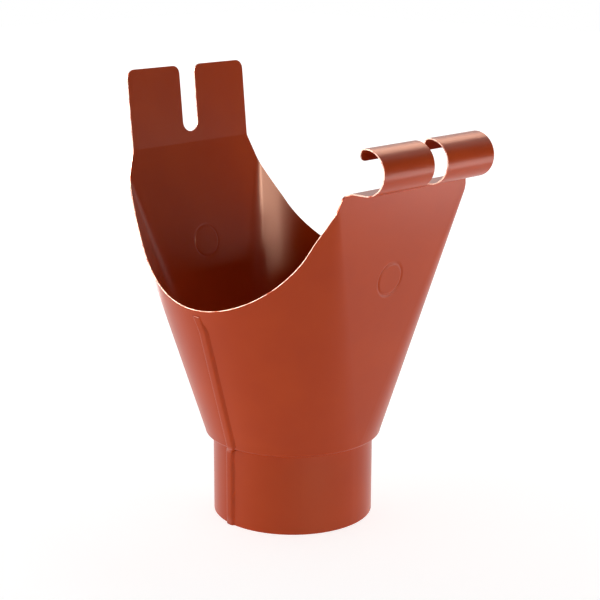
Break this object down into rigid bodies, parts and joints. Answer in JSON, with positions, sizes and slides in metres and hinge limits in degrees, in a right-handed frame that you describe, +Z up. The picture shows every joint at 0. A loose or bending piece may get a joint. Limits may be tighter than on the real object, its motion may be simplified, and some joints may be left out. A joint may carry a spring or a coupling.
{
  "type": "gutter running outlet",
  "caption": "Folded sheet-metal outlet that hooks round a half-round gutter's bead, hangs under the trough and funnels the rain down into a round downpipe.",
  "frame": {"origin": "centre of the spigot's bottom edge, on the spigot's axis", "axes": "+Z up along the spigot's axis, +X towards the two straps that hook round the gutter's bead, Y along the gutter; the lock seam is on the -Y side and the slotted tab on the -X side"},
  "size_m": [0.1809, 0.1456, 0.2373],
  "materials": {
    "coated_sheet": "satin"
  },
  "bodies": {
    "root": {"outlet_body": "coated_sheet"}
  },
  "joints": []
}
